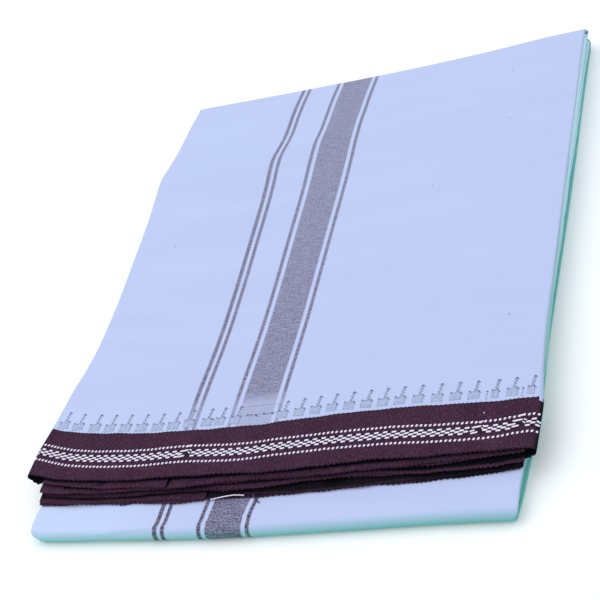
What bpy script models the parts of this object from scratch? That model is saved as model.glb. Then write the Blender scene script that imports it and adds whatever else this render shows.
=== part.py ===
"""A single-width cotton dhoti, folded into a flat packet, selvedges to the front.

The cloth is one woven length, 2.00 m by 1.27 m, with a maroon border in each
selvedge.  It is folded lengthwise into eight layers, then across its width in
half, so that the first fold and all the selvedges lie at the front, and in half
again, which leaves the last fold at the back.  The upper half ends in the fanned
selvedges; the lower half reaches further forward and ends in a rounded fold.

X runs along the border, Y from the border to the back fold, Z up.  The packet
rests on Z = 0, and the middle of its outline is at X = Y = 0.  The tables are
measured from a point in the top cloth, OUTLINE_MIDDLE away from that middle.
"""

import bmesh
import bpy
import numpy as np
from math import cos, pi, sin

MM = 0.001                      # every size below is in millimetres

# The packet
OUTLINE_MIDDLE = (-0.85, 0.45)  # of the finished packet, in the tables' own X and Y
PACKET_HEIGHT = 16.0            # floor to the flat of the top cloth
PARTING_HEIGHT = 8.0            # floor to the top of the lower half
WALL = 1.2                      # wall of a cloth piece
SEAM_GAP = 0.3                  # clear space between neighbouring pieces

# The lower half's front fold
NOSE_RADIUS = 3.25
NOSE_CORNERS = (7.0, 3.5)       # how far its left and right ends round away
NOSE_EASE = 15.0                # length over which the lower half thins to it

# The side folds of the top cloth, and the loops at the border's two ends
SIDE_RADIUS = 2.2
SIDE_SKIRT = 0.6
LOOP_RADIUS = 1.9
LOOP_RETURN = 5.0

# How far the hidden layers stay inside the two ends of the back fold
BACK_INSET = 2.2

# How far in front of the border's upper edge the fanned selvedges start
FAN_ROOT = 1.6

# Nominal Y at which the side tables are read: the border's two edges, the front
# fold, and the line where the back fold starts to turn
BORDER_FRONT_Y = -138.0
BORDER_BACK_Y = -111.0
FRONT_FOLD_Y = -164.0
BACK_TURN_Y = 153.0

# Points across the packet, the same in each piece so that their edges match
ACROSS_POINTS = 17

# Rows from the border to the back fold, as shares of that length; the layers
# under the top cloth have every other one of them
FLAT_ROWS = [row / 24 for row in range(25)]

# Folded layers that show at the sides: groove depth between neighbours
LAYER_GROOVE = 0.7

# The soft sag of the packet behind the border
SAG_DEPTH = 1.3
SAG_CENTRE = -25.0
SAG_SPREAD = 38.0

# The top cloth falls over these lengths before the back fold: where the fall
# starts, how long it is, and the power that keeps its last stretch tangent
SLOPE_START = 36.0
SLOPE_LENGTH = 27.0
LAST_STRETCH = 12

# The crease across the back left of the packet fades over these lengths
CREST_ROUNDING = 5.0
CREST_FRONT_SPREAD = 28.0
CREST_BACK_SPREAD = 21.0


def table(columns, *rows):
    """A table with named columns; its first column is the one it is read by."""
    values = np.array(rows, dtype=float)
    named = {name: values[:, i] for i, name in enumerate(columns)}
    named["key"] = values[:, 0]
    return named


def along(source, column, at):
    """Read a column on one smooth curve through the table's rows."""
    keys = source["key"]
    values = source[column]
    slopes = np.gradient(values, keys)
    at = np.clip(at, keys[0], keys[-1])
    i = int(np.clip(np.searchsorted(keys, at) - 1, 0, len(keys) - 2))
    span = keys[i + 1] - keys[i]
    t = (at - keys[i]) / span
    rise = t * t * (3 - 2 * t)
    start_bend = t * (1 - t) * (1 - t) * slopes[i] * span
    end_bend = t * t * (1 - t) * slopes[i + 1] * span
    return (1 - rise) * values[i] + rise * values[i + 1] + start_bend - end_bend


# Outline of the top cloth: X of its two side folds at a distance Y
TOP_SIDES = table(
    ("y", "left", "right"),
    (-142.0, -130.9, 129.2),
    (-125.0, -130.1, 129.0),
    (-110.0, -128.3, 128.6),
    (-97.0, -126.6, 127.8),
    (-83.0, -124.7, 127.2),
    (-70.0, -122.2, 126.8),
    (-55.0, -119.6, 126.6),
    (-35.0, -118.9, 126.6),
    (30.0, -118.4, 127.1),
    (85.0, -118.7, 127.4),
    (166.0, -117.4, 127.4),
)

# Outline of the lower half
LOWER_SIDES = table(
    ("y", "left", "right"),
    (-168.0, -122.8, 121.4),
    (-145.0, -122.6, 122.0),
    (-125.0, -122.4, 124.4),
    (-60.0, -121.6, 125.6),
    (0.0, -120.4, 126.9),
    (60.0, -119.4, 127.8),
    (110.0, -118.4, 128.3),
    (166.0, -117.2, 128.2),
)

# Front fold of the lower half: Y of its foremost line
FRONT_FOLD = table(
    ("x", "y"),
    (-124.0, -160.5),
    (-112.0, -163.2),
    (-79.0, -165.5),
    (-25.0, -167.3),
    (35.0, -166.7),
    (90.0, -165.8),
    (122.0, -166.0),
)

# Back fold: Y of its outermost line, and how far the cloth falls before it
BACK_FOLD = table(
    ("x", "y", "slope_drop"),
    (-118.0, 160.0, 2.0),
    (-50.0, 160.2, 2.0),
    (10.0, 160.9, 1.7),
    (48.0, 162.4, 1.3),
    (75.0, 164.2, 1.0),
    (105.0, 167.3, 0.8),
    (127.0, 168.2, 0.6),
)

# Crease that crosses the packet from its left edge and dies out to the right
CREST = table(
    ("x", "y", "rise"),
    (-130.0, 80.0, 4.9),
    (-80.0, 91.0, 4.8),
    (-49.0, 96.0, 4.5),
    (-23.0, 100.0, 3.3),
    (1.0, 109.0, 1.9),
    (35.0, 119.0, 0.8),
    (75.0, 127.0, 0.2),
    (130.0, 131.0, 0.0),
)

# The border: Y of its upper edge, and of the front edge of each selvedge in the fan
BORDER = table(
    ("x", "upper", "top", "second", "third", "fourth", "lowest"),
    (-130.0, -102.5, -132.3, -135.0, -140.2, -141.6, -144.2),
    (-120.0, -105.8, -135.2, -137.0, -141.8, -142.9, -145.8),
    (-92.0, -110.4, -139.0, -142.0, -144.5, -145.8, -147.9),
    (-63.0, -112.6, -140.1, -144.2, -144.5, -146.1, -148.9),
    (-36.0, -113.0, -140.7, -145.2, -144.6, -145.9, -149.6),
    (-10.0, -113.2, -140.9, -145.2, -143.6, -146.3, -148.9),
    (20.0, -111.2, -140.4, -145.0, -143.0, -144.4, -148.6),
    (50.0, -110.1, -139.1, -143.0, -142.2, -143.5, -147.4),
    (80.0, -110.3, -138.6, -142.0, -141.4, -143.9, -146.2),
    (106.0, -110.9, -138.1, -141.0, -139.2, -143.2, -144.4),
    (130.0, -110.4, -138.8, -140.0, -137.6, -141.0, -142.0),
)

# The selvedges fanned under the top border
SELVEDGES = (
    # name, column, left end, right end, underside, thickness
    ("border_second", "second", -119.3, -48.6, 13.25, 1.15),
    ("border_third", "third", -119.0, 120.6, 11.80, 1.15),
    ("border_fourth", "fourth", -118.6, 121.6, 10.25, 1.25),
    ("border_lowest_left", "lowest", -121.4, -28.2, 8.35, 1.60),
    ("border_lowest_right", "lowest", -27.6, 122.6, 8.35, 1.00),
)

# The ends of a fanned selvedge thin from a share of its thickness over a short length
END_SHARE = 0.45
END_LENGTH = 1.5
STATION_SPACING = 9.0

# Colours and roughness of the woven cotton
WHITE_COTTON = ((0.56, 0.63, 0.90), 0.85)
INNER_COTTON = ((0.45, 0.55, 0.72), 0.85)
MAROON_COTTON = ((0.070, 0.032, 0.065), 0.75)


def crest_height(x, y):
    """How far the crease lifts the cloth above the packet's flat."""
    away = y - along(CREST, "y", x)
    spread = CREST_FRONT_SPREAD if away < 0 else CREST_BACK_SPREAD
    rounded = (away * away + CREST_ROUNDING ** 2) ** 0.5 - CREST_ROUNDING
    return along(CREST, "rise", x) * np.exp(-rounded / spread)


def back_slope(x, y):
    """How far the cloth falls before it turns over the back fold."""
    start = along(BACK_FOLD, "y", x) - SLOPE_START
    t = np.clip((y - start) / SLOPE_LENGTH, 0.0, 1.0)
    return along(BACK_FOLD, "slope_drop", x) * t * t


def top_height(x, y):
    """Height of the top cloth's outer face above the floor."""
    sag = SAG_DEPTH * np.exp(-((y - SAG_CENTRE) / SAG_SPREAD) ** 2)
    return PACKET_HEIGHT + crest_height(x, y) - sag - back_slope(x, y)


def back_radius(x):
    """Radius of the back fold, which turns the top cloth down to the floor."""
    return top_height(x, along(BACK_FOLD, "y", x) - PARTING_HEIGHT) / 2


def back_centre(x):
    """Y of the back fold's axis."""
    return along(BACK_FOLD, "y", x) - back_radius(x)


def turn_drop(x, v):
    """What the top cloth drops by, over its last stretch, to meet the back fold."""
    return (top_height(x, back_centre(x)) - 2 * back_radius(x)) * v ** LAST_STRETCH


def nose_centre(x):
    """Y of the front fold's axis."""
    return along(FRONT_FOLD, "y", x) + NOSE_RADIUS


def cotton(name, finish):
    """A plain cotton material in one colour."""
    colour, roughness = finish
    material = bpy.data.materials.new(name)
    material.use_nodes = True
    shader = material.node_tree.nodes["Principled BSDF"]
    shader.inputs["Base Color"].default_value = (*colour, 1.0)
    shader.inputs["Roughness"].default_value = roughness
    shader.inputs["Metallic"].default_value = 0.0
    return material


def new_object(name, points, faces, finish):
    """A named object from points in millimetres, with its own material."""
    mesh = bpy.data.meshes.new(name)
    mesh.from_pydata([tuple(c * MM for c in p) for p in points], [], faces)
    mesh.validate()
    mesh.shade_smooth()
    mesh.set_sharp_from_angle(angle=pi / 5)
    mesh.materials.append(cotton(name + "_cotton", finish))
    thing = bpy.data.objects.new(name, mesh)
    thing.location = (-OUTLINE_MIDDLE[0] * MM, -OUTLINE_MIDDLE[1] * MM, 0.0)
    bpy.context.scene.collection.objects.link(thing)
    return thing


def grid_faces(rows, columns):
    """Faces of an open grid of points, row after row, with their fronts up."""
    faces = []
    for r in range(rows - 1):
        for c in range(columns - 1):
            a = r * columns + c
            faces.append((a, a + 1, a + 1 + columns, a + columns))
    return faces


def cloth_wall(name, points, rows, columns, finish):
    """A sheet of cloth, given a wall on its inner side."""
    thing = new_object(name, points, grid_faces(rows, columns), finish)
    wall = thing.modifiers.new("wall", "SOLIDIFY")
    wall.thickness = WALL * MM
    wall.offset = -1.0
    wall.use_even_offset = False
    return thing


def end_strip(ring):
    """Faces that close a ring of point numbers, from its first and last points inward."""
    count = len(ring)
    strip = []
    for i in range(count // 2 - 1):
        strip.append((ring[i], ring[i + 1], ring[count - 2 - i], ring[count - 1 - i]))
    return strip


def lofted(name, sections, finish, first_point=0):
    """A closed body through rings of points, closed by a strip of faces at each end."""
    count = len(sections[0])
    points = [p for ring in sections for p in ring]
    faces = []
    for s in range(len(sections) - 1):
        for i in range(count):
            a = s * count + i
            b = s * count + (i + 1) % count
            faces.append((a, b, b + count, a + count))
    end_ring = [(first_point + i) % count for i in range(count)]
    last = (len(sections) - 1) * count
    faces += [face[::-1] for face in end_strip(end_ring)]
    faces += end_strip([last + i for i in end_ring])
    thing = new_object(name, points, faces, finish)
    body = bmesh.new()
    body.from_mesh(thing.data)
    if body.calc_volume(signed=True) < 0:
        bmesh.ops.reverse_faces(body, faces=body.faces)
    body.to_mesh(thing.data)
    body.free()
    return thing


def spaced(start, end, count):
    """Evenly spaced values from start to end."""
    return [start + (end - start) * i / (count - 1) for i in range(count)]


def side_profile(skirt, steps):
    """The top cloth's side fold: how far in and how far down, from the flat outward."""
    turn = [(pi / 2) * i / steps for i in range(1, steps + 1)]
    curve = [(SIDE_RADIUS * (1 - sin(a)), SIDE_RADIUS * (1 - cos(a))) for a in turn]
    return curve + [(0.0, SIDE_RADIUS + skirt)]


def top_cloth():
    """White top cloth: flat, two side folds, and the turn over the back fold."""
    fold = side_profile(SIDE_SKIRT, 3)
    # (share across, how far in from the fold, how far down), from left to right
    across = [(0.0, inset, drop) for inset, drop in reversed(fold)]
    across += [(u, SIDE_RADIUS, 0.0) for u in spaced(0.0, 1.0, ACROSS_POINTS)]
    across += [(1.0, inset, drop) for inset, drop in fold]
    turn_rows = [pi * i / 9 for i in range(1, 10)]
    points = []
    for v, angle in [(v, 0.0) for v in FLAT_ROWS] + [(1.0, a) for a in turn_rows]:
        for u, inset, drop in across:
            nominal_y = BORDER_BACK_Y + v * (BACK_TURN_Y - BORDER_BACK_Y)
            left = along(TOP_SIDES, "left", nominal_y) + inset
            right = along(TOP_SIDES, "right", nominal_y) - inset
            x = left + u * (right - left)
            front = along(BORDER, "upper", x) + SEAM_GAP / 2
            centre = back_centre(x)
            radius = back_radius(x)
            y = front + v * (centre - front) + (radius - drop) * sin(angle)
            if angle == 0.0:
                z = top_height(x, y) - turn_drop(x, v) - drop
            else:
                z = radius + (radius - drop) * cos(angle)
            points.append((x, y, z))
    return cloth_wall("top_cloth", points, len(points) // len(across), len(across), WHITE_COTTON)


def layered_side(low, high, layers, insets):
    """Side edge of a stack of folded layers, upwards: how far in, and the height."""
    edge = []
    for k in range(layers):
        for part, groove in ((0.0, LAYER_GROOVE), (0.3, 0.0), (0.7, 0.0)):
            height = low + (high - low) * (k + part) / layers
            edge.append((insets[k] + groove, height))
    edge.append((insets[-1] + LAYER_GROOVE, high))
    return edge


def stack_ring(left, right, y_of, low_of, high_of, layers, insets):
    """One section of a stack of layers, seen from the front, anticlockwise."""
    ring = []
    middle = spaced(0.0, 1.0, ACROSS_POINTS)
    low_left, high_left = low_of(left), high_of(left)
    low_right, high_right = low_of(right), high_of(right)
    for inset, z in layered_side(low_right, high_right, layers, insets):
        ring.append((right - inset, y_of(right - inset), z))
    for u in middle[1:-1]:
        x = right + u * (left - right)
        ring.append((x, y_of(x), high_of(x)))
    for inset, z in reversed(layered_side(low_left, high_left, layers, insets)):
        ring.append((left + inset, y_of(left + inset), z))
    for u in middle[1:-1]:
        x = left + u * (right - left)
        ring.append((x, y_of(x), low_of(x)))
    return ring


def lower_layers():
    """Lower half of the packet: hidden layers in one body, with the rounded front fold."""
    insets = (0.6, 0.1, 0.9, 0.3)
    sections = []
    # the front fold, from its foremost line back to its full thickness
    for angle in (0.08, 0.35, 0.7, 1.05, 1.4):
        half = NOSE_RADIUS * sin(angle)
        corner = (1 - sin(angle)) ** 1.5
        left = along(LOWER_SIDES, "left", FRONT_FOLD_Y) + NOSE_CORNERS[0] * corner
        right = along(LOWER_SIDES, "right", FRONT_FOLD_Y) - NOSE_CORNERS[1] * corner
        low = NOSE_RADIUS - half
        high = NOSE_RADIUS + half

        def y_of(x, angle=angle):
            return nose_centre(x) - NOSE_RADIUS * cos(angle)

        sections.append(stack_ring(left, right, y_of, lambda x, z=low: z,
                                   lambda x, z=high: z, 4, insets))
    # the flat stretch, which thickens from the fold to the parting height
    for v in (0.0, 0.03, 0.06, 0.12, 0.2, 0.3, 0.4, 0.5, 0.6, 0.7, 0.8, 0.9, 1.0):
        behind_fold = v * (BACK_TURN_Y - FRONT_FOLD_Y)
        left = along(LOWER_SIDES, "left", FRONT_FOLD_Y + behind_fold)
        right = along(LOWER_SIDES, "right", FRONT_FOLD_Y + behind_fold)
        ease = min(1.0, behind_fold / NOSE_EASE)
        high = 2 * NOSE_RADIUS + (PARTING_HEIGHT - 2 * NOSE_RADIUS) * (1 - (1 - ease) ** 2)

        def y_of(x, v=v):
            return nose_centre(x) + v * (back_centre(x) - 4 * SEAM_GAP - nose_centre(x))

        sections.append(stack_ring(left, right, y_of, lambda x: 0.0,
                                   lambda x, z=high: z, 4, insets))
    # the back end, inside the turn of the top cloth
    left = along(LOWER_SIDES, "left", BACK_TURN_Y) + BACK_INSET
    right = along(LOWER_SIDES, "right", BACK_TURN_Y) - BACK_INSET
    for reach in (0.0, 0.5, 0.8, 0.97):
        def y_of(x, reach=reach):
            return back_centre(x) - 2 * SEAM_GAP + reach * (back_radius(x) - WALL - SEAM_GAP)

        def low_of(x, reach=reach):
            inner = back_radius(x) - WALL - 2 * SEAM_GAP
            return back_radius(x) - inner * (1 - reach * reach) ** 0.5

        def high_of(x, low_of=low_of):
            return max(min(PARTING_HEIGHT, 2 * back_radius(x) - low_of(x)), low_of(x) + 0.6)

        sections.append(stack_ring(left, right, y_of, low_of, high_of, 4, insets))
    return lofted("lower_layers", sections, WHITE_COTTON, first_point=6)


def upper_layers():
    """Upper half of the packet: the hidden layers between the top cloth and the lower half."""
    under_wall = WALL + SEAM_GAP
    insets = (0.5, 0.1, under_wall + 0.3)
    low = PARTING_HEIGHT + SEAM_GAP
    sections = []
    for v in FLAT_ROWS[::2]:
        nominal_y = BORDER_BACK_Y + v * (BACK_TURN_Y - BORDER_BACK_Y)
        left = along(TOP_SIDES, "left", nominal_y) + SEAM_GAP
        right = along(TOP_SIDES, "right", nominal_y) - SEAM_GAP

        def y_of(x, v=v):
            front = along(BORDER, "upper", x) + SEAM_GAP
            return front + v * (back_centre(x) - front)

        def high_of(x, v=v, y_of=y_of):
            return top_height(x, y_of(x)) - turn_drop(x, v) - under_wall - SEAM_GAP

        sections.append(stack_ring(left, right, y_of, lambda x: low, high_of, 3, insets))
    left = along(TOP_SIDES, "left", BACK_TURN_Y) + BACK_INSET
    right = along(TOP_SIDES, "right", BACK_TURN_Y) - BACK_INSET
    for reach in (0.1, 0.5, 0.8, 0.95):
        def y_of(x, reach=reach):
            return back_centre(x) + reach * (back_radius(x) - under_wall - 0.1)

        def high_of(x, reach=reach):
            inner = back_radius(x) - under_wall - 0.1
            return max(back_radius(x) + inner * (1 - reach * reach) ** 0.5, low + 0.6)

        sections.append(stack_ring(left, right, y_of, lambda x: low, high_of, 3, insets))
    return lofted("upper_layers", sections, INNER_COTTON, first_point=5)


def border_top():
    """Top border: maroon selvedge whose cloth folds under in an open loop at each end."""
    turn = [pi * i / 6 for i in range(1, 7)]
    loop = [(LOOP_RADIUS * (1 - sin(a)), LOOP_RADIUS * (1 - cos(a))) for a in turn]
    loop.append((LOOP_RADIUS + LOOP_RETURN, 2 * LOOP_RADIUS))
    across = [(0.0, inset, drop) for inset, drop in reversed(loop)]
    across += [(u, LOOP_RADIUS, 0.0) for u in spaced(0.0, 1.0, ACROSS_POINTS)]
    across += [(1.0, inset, drop) for inset, drop in loop]
    rows = spaced(0.0, 1.0, 5)
    points = []
    for v in rows:
        nominal_y = BORDER_FRONT_Y + v * (BORDER_BACK_Y - BORDER_FRONT_Y)
        left_fold = along(TOP_SIDES, "left", nominal_y)
        right_fold = along(TOP_SIDES, "right", nominal_y)
        for u, inset, drop in across:
            left = left_fold + inset
            right = right_fold - inset
            x = left + u * (right - left)
            front = along(BORDER, "top", x)
            back = along(BORDER, "upper", x) - SEAM_GAP / 2
            y = front + v * (back - front)
            points.append((x, y, top_height(x, y) - drop))
    return cloth_wall("border_top", points, len(rows), len(across), MAROON_COTTON)


def fanned_selvedge(name, column, left, right, underside, thickness):
    """One selvedge of the fan: a strip with a rounded front edge and rounded ends."""
    count = max(9, int((right - left) / STATION_SPACING))
    stations = [left, left + END_LENGTH / 3]
    stations += spaced(left + END_LENGTH, right - END_LENGTH, count)
    stations += [right - END_LENGTH / 3, right]
    sections = []
    for x in stations:
        from_end = min(x - left, right - x)
        full = min(1.0, END_SHARE + (1 - END_SHARE) * from_end / END_LENGTH)
        half = thickness / 2 * full
        middle = underside + thickness / 2
        front = along(BORDER, column, x) + (1 - full) * thickness
        back = along(BORDER, "upper", x) - FAN_ROOT
        sections.append([
            (x, back, middle),
            (x, back, middle + half),
            (x, front + half, middle + half),
            (x, front + 0.3 * half, middle + 0.7 * half),
            (x, front, middle),
            (x, front + 0.3 * half, middle - 0.7 * half),
            (x, front + half, middle - half),
            (x, back, middle - half),
        ])
    return lofted(name, sections, MAROON_COTTON)


for leftover in list(bpy.context.scene.objects):
    bpy.data.objects.remove(leftover, do_unlink=True)

top_cloth()
upper_layers()
lower_layers()
border_top()
for row in SELVEDGES:
    fanned_selvedge(*row)
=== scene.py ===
"""A folded cotton dhoti: the finished look of the packet, built around its solids.

The cloth is 2.00 m by 1.27 m.  Folded lengthwise into eight layers and twice
across, it is a packet of four panels.  From the top down they are the outer panel
that starts at the border, an inner one, and the two of the lower half, which are
joined at the front fold.  X runs along the border, Y from it to the back fold.
"""

from math import cos, pi, radians, sin

import bpy
import numpy as np
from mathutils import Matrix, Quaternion, Vector


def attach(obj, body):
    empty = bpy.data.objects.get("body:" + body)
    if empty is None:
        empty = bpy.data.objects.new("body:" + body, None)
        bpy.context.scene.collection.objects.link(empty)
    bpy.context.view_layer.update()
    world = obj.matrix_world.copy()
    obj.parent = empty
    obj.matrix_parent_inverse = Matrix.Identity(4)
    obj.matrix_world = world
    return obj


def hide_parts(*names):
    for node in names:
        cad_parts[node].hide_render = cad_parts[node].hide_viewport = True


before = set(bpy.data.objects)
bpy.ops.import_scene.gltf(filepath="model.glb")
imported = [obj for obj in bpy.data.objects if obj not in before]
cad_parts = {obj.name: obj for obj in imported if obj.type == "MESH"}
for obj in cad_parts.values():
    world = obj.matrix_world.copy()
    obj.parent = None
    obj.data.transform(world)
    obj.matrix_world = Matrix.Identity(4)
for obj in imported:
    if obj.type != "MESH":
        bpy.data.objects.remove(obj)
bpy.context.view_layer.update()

# ---------------------------------------------------------------------------
# Table, light and camera
# The packet lies on a plain pale table.  Its light is a wide soft lamp overhead and
# a pale room whose walls are faintly sea green, which tints whatever faces sideways.

SCENE = bpy.context.scene


def feed(target, inputs):
    """Give a node's inputs a value, an output, or the one live output of another node.
    A Mix node's factor is its input 0, and its two colours are its inputs 6 and 7."""
    for key, value in inputs.items():
        if isinstance(value, bpy.types.Node):
            value = next(output for output in value.outputs if output.enabled)
        if isinstance(value, bpy.types.NodeSocket):
            target.id_data.links.new(value, target.inputs[key])
        else:
            target.inputs[key].default_value = value


def node(tree, kind, inputs=None, **settings):
    """Add a shader node with its settings and its inputs."""
    made = tree.nodes.new("ShaderNode" + kind)
    for name, value in settings.items():
        setattr(made, name, value)
    feed(made, inputs or {})
    return made


def material(name):
    """A new material, its node tree and its surface shader."""
    made = bpy.data.materials.new(name)
    made.use_nodes = True
    return made, made.node_tree, made.node_tree.nodes["Principled BSDF"]


def add_object(name, data):
    """A new object in the scene."""
    made = bpy.data.objects.new(name, data)
    SCENE.collection.objects.link(made)
    return made


def colour(code):
    """An sRGB hex colour as linear red, green, blue and alpha."""
    parts = [int(code[i:i + 2], 16) / 255 for i in (1, 3, 5)]
    linear = [c / 12.92 if c <= 0.04045 else ((c + 0.055) / 1.055) ** 2.4 for c in parts]
    return (*linear, 1.0)


# Painted board, matt and almost white
board, board_tree, board_shader = material("matt_white_board")
board_grain = node(board_tree, "TexNoise", {"Scale": 900.0, "Detail": 2.0})
board_bump = node(board_tree, "Bump", {"Height": board_grain, "Distance": 0.00002})
feed(board_shader, {"Base Color": colour("#F6F7F8"), "Roughness": 0.9, "Normal": board_bump})

TABLE_HALF = 3.0
table_mesh = bpy.data.meshes.new("table")
corners = [(-1, -1), (1, -1), (1, 1), (-1, 1)]
table_mesh.from_pydata([(x * TABLE_HALF, y * TABLE_HALF, 0.0) for x, y in corners], [], [(0, 1, 2, 3)])
table_mesh.materials.append(board)
table_top = add_object("table_top", table_mesh)

# The room: pale violet overhead, sea green in a low band, seen by height alone
ROOM_STRENGTH = 1.13
room = bpy.data.worlds.new("pale_room")
room.use_nodes = True
room_tree = room.node_tree
room_tree.nodes.clear()
facing = node(room_tree, "TexCoord")
height = node(room_tree, "SeparateXYZ", {"Vector": facing.outputs["Generated"]})
walls = node(room_tree, "ValToRGB", {"Fac": height.outputs["Z"]})
for stop, place, code in zip(walls.color_ramp.elements, (0.10, 0.42), ("#8FC6B8", "#FBFBFF")):
    stop.position = place
    stop.color = colour(code)
room_light = node(room_tree, "Background", {"Color": walls, "Strength": ROOM_STRENGTH})
node(room_tree, "OutputWorld", {"Surface": room_light})
SCENE.world = room

# The overhead lamp, a wide square to the left of and behind the packet, a little cool
LAMP_PLACE = Vector((-0.50, 0.30, 0.95))
lamp = bpy.data.lights.new("overhead_softbox", "AREA")
lamp.shape = "SQUARE"
lamp.size = 1.3
lamp.energy = 3.3
lamp.color = (0.88, 1.0, 1.0)
softbox = add_object("overhead_softbox", lamp)
softbox.location = LAMP_PLACE
softbox.rotation_mode = "QUATERNION"
softbox.rotation_quaternion = (-LAMP_PLACE).to_track_quat("-Z", "Y")

# The camera looks down at the packet from its front right corner
CAMERA_PLACE = Vector((0.28779, -0.52233, 0.47639))
CAMERA_AIM = Vector((-0.01371, -0.01410, 0.0))
CAMERA_ROLL = radians(-27.344)
camera_data = bpy.data.cameras.new("camera")
camera_data.lens = 86.6
camera_data.sensor_width = 36.0
camera = add_object("camera", camera_data)
camera.location = CAMERA_PLACE
camera.rotation_mode = "QUATERNION"
aim = (CAMERA_AIM - CAMERA_PLACE).to_track_quat("-Z", "Y")
camera.rotation_quaternion = aim @ Quaternion((0, 0, 1), CAMERA_ROLL)
SCENE.camera = camera
SCENE.view_settings.view_transform = "Standard"

# ---------------------------------------------------------------------------
# Lower half of the packet
# The outer panel of plain white cotton, from the back fold along the table, round
# the front fold, and back over the lower half.  Its long sides are rolled under.

MM = 0.001  # the tables and sizes below are in millimetres
OUTLINE_MIDDLE = (-0.85, 0.45)  # of the packet, in the tables' own X and Y
PACKET_HEIGHT = 16.0  # table to the flat of the top panel
PARTING_HEIGHT = 8.0  # table to the top of the lower half
UPPER_FLOOR = 8.3  # underside of the upper half
UPPER_THICKNESS = PACKET_HEIGHT - UPPER_FLOOR
NOSE_RADIUS = 3.7  # of the front fold
NOSE_CORNERS = {"left": 4.2, "right": 1.9}
NOSE_EASE = 15.0  # the lower half thins to its front fold over this
CORNER_START = 0.8  # share of a corner that the underside draws in already,
CORNER_EASE = 0.05  # over this last share of its length
INNER_SETBACK = 1.0  # the inner fold lies this far in front of the back fold's axis
BORDER_BACK_Y = -111.0  # the outlines are read between these
FRONT_FOLD_Y = -164.0
BACK_TURN_Y = 153.0


def unit(value):
    """The value, held between 0 and 1."""
    return np.clip(value, 0.0, 1.0)


def side_by_side(*parts):
    """Columns of one array; a single number fills its column."""
    return np.column_stack(np.broadcast_arrays(*parts))


def table(columns, *rows):
    """A table with named columns; its first column is the one it is read by."""
    values = np.array(rows, dtype=float)
    named = {name: values[:, i] for i, name in enumerate(columns)}
    named["key"] = values[:, 0]
    return named


def along(source, column, at):
    """Read a column on one smooth curve through the table's rows."""
    keys = source["key"]
    values = source[column]
    slopes = np.gradient(values, keys)
    at = np.clip(at, keys[0], keys[-1])
    i = np.clip(np.searchsorted(keys, at) - 1, 0, len(keys) - 2)
    span = keys[i + 1] - keys[i]
    t = (at - keys[i]) / span
    rise = t * t * (3 - 2 * t)
    start_bend = t * (1 - t) * (1 - t) * slopes[i] * span
    end_bend = t * t * (1 - t) * slopes[i + 1] * span
    return (1 - rise) * values[i] + rise * values[i + 1] + start_bend - end_bend


# X of the side folds of the upper half, and of the lower half, at a distance Y
TOP_SIDES = table(
    ("y", "left", "right"),
    (-142, -130.9, 128.4),
    (-125, -129.8, 129),
    (-110, -127.1, 129.2),
    (-97, -125, 128),
    (-83, -123.1, 127.3),
    (-70, -120.8, 126.8),
    (-55, -119.2, 126.6),
    (-35, -118.6, 126.6),
    (30, -117.9, 127.1),
    (85, -117.8, 127.4),
    (125, -116.2, 127.4),
    (166, -115.9, 127.4),
)
LOWER_SIDES = table(
    ("y", "left", "right"),
    (-168, -121, 121.3),
    (-162, -122.3, 121.3),
    (-157, -121.9, 121.3),
    (-145, -120.4, 121.8),
    (-125, -120.6, 123.6),
    (-60, -121.6, 124.2),
    (0, -120.4, 125.5),
    (60, -119.4, 126.4),
    (110, -118.4, 126.7),
    (166, -117.2, 127.6),
)

# Y of the foremost line of the front fold, and of the rearmost of the back fold
FRONT_FOLD = table(
    ("x", "y"),
    (-124, -162.8),
    (-117, -163.9),
    (-107, -164.5),
    (-97, -164.9),
    (-79, -165.5),
    (-25, -167.3),
    (35, -166.7),
    (90, -165.8),
    (122, -166),
)
BACK_FOLD = table(
    ("x", "y", "slope_drop"),
    (-118, 160, 2),
    (-50, 160.2, 2),
    (10, 160.9, 1.7),
    (48, 162.4, 1.3),
    (75, 164.2, 1),
    (105, 167.3, 0.8),
    (127, 168.2, 0.6),
)

# The soft crest that crosses the packet from its left edge and dies out to the right
CREST = table(
    ("x", "y", "rise"),
    (-130, 80, 4.9),
    (-80, 82, 4.8),
    (-49, 84, 4.5),
    (-23, 93.5, 3.3),
    (1, 108, 1.9),
    (35, 119, 0.8),
    (75, 127, 0.2),
    (130, 131, 0),
)
CREST_ROUNDING = 5.0
CREST_FRONT_SPREAD = 28.0
CREST_BACK_SPREAD = 21.0

# The soft sag behind the border, and the fall before the back fold
SAG_DEPTH = 1.3
SAG_CENTRE = -25.0
SAG_SPREAD = 38.0
SLOPE_START = 36.0
SLOPE_LENGTH = 27.0
LAST_STRETCH = 12
# The back fold's right end goes in and out in soft lobes: share of the turn, and how far
BACK_LOBES = ((0.36, 0.7), (0.56, -1.2), (0.71, 0.6))
LOBE_SPREAD = 0.08

# Y of the border's upper edge, and of the front edge of each selvedge in the fan
BORDER = table(
    ("x", "upper", "top", "second", "third", "fourth", "lowest"),
    (-130, -102.5, -132.3, -135, -140.2, -141.6, -144.2),
    (-120, -105.8, -135.2, -137, -141.8, -142.9, -145.8),
    (-92, -110.4, -139, -142, -144.5, -145.8, -147.9),
    (-63, -112.6, -140.1, -144.2, -144.5, -146.1, -148.9),
    (-36, -113, -140.7, -145.2, -144.6, -145.9, -149.6),
    (-10, -113.2, -140.9, -145.2, -143.6, -146.3, -148.9),
    (20, -111.2, -140.4, -145, -143, -144.4, -148.6),
    (50, -110.1, -139.1, -143, -142.2, -143.5, -147.4),
    (80, -110.3, -138.6, -142, -141.4, -143.9, -146.2),
    (106, -110.9, -138.1, -141, -139.2, -143.2, -144.4),
    (130, -110.4, -138.8, -140, -137.6, -141, -142),
)


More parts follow.
